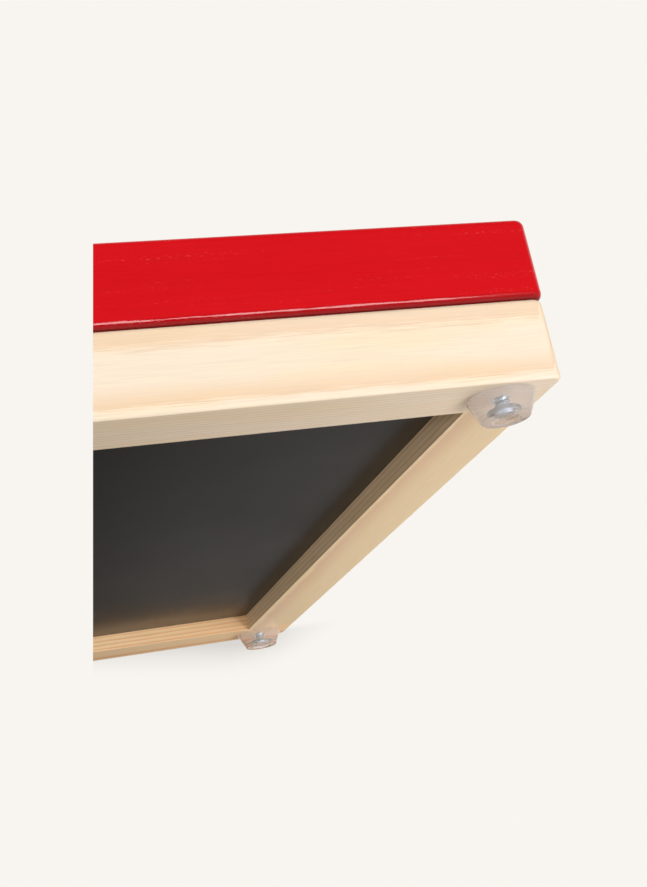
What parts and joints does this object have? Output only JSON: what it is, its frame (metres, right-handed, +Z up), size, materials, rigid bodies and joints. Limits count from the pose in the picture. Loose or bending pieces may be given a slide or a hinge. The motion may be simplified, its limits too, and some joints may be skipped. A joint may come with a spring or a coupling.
{
  "type": "springboard",
  "caption": "Box springboard: a ribbed deck floats on coil springs inside a red upper frame, on a pine base frame with a recessed black bottom and clear screw-on feet.",
  "frame": {"origin": "on the floor, under the middle of the board", "axes": "+X along the board, +Y to the back, +Z up"},
  "size_m": [0.602, 0.378, 0.0665],
  "materials": {
    "pine": "planed pine under a clear satin lacquer",
    "red_paint": "pine under an opaque red satin paint",
    "black_panel": "hardboard with a smooth matt black face",
    "beech": "bare fluted beech",
    "birch_ply": "birch plywood under a clear lacquer",
    "rubber": "matt black rubber",
    "foam": "closed-cell foam strip",
    "clear_pvc": "clear soft PVC",
    "zinc_steel": "bright zinc plate",
    "spring_steel": "zinc-plated spring wire"
  },
  "bodies": {
    "base": {"front_base_rail": "pine", "back_base_rail": "pine", "left_base_rail": "pine", "right_base_rail": "pine", "bottom_panel": "black_panel", "spring_bearer_1": "pine", "spring_bearer_2": "pine", "spring_bearer_3": "pine", "spring_bearer_4": "pine", "front_top_rail": "red_paint", "back_top_rail": "red_paint", "left_top_rail": "red_paint", "right_top_rail": "red_paint", "base_corner_dowels": "beech", "top_corner_dowels": "beech", "frame_dowels": "beech", "rubber_buffers": "rubber", "foot_front_left": "clear_pvc", "foot_front_right": "clear_pvc", "foot_back_left": "clear_pvc", "foot_back_right": "clear_pvc", "foot_screws": "zinc_steel", "spring_1": "spring_steel", "spring_2": "spring_steel", "spring_3": "spring_steel", "spring_4": "spring_steel", "spring_5": "spring_steel", "spring_6": "spring_steel", "spring_7": "spring_steel", "spring_8": "spring_steel"},
    "deck": {"deck_board": "birch_ply", "deck_mat": "rubber", "rebound_strips": "foam"}
  },
  "joints": [
    {"name": "deck_bounce", "type": "slide", "parent": "base", "child": "deck", "axis": [0, 0, 1], "range_m": [-0.01, 0], "stiffness_N_per_m": 64000, "springref_m": 0.0015, "deforming": ["spring_1", "spring_2", "spring_3", "spring_4", "spring_5", "spring_6", "spring_7", "spring_8"]}
  ]
}
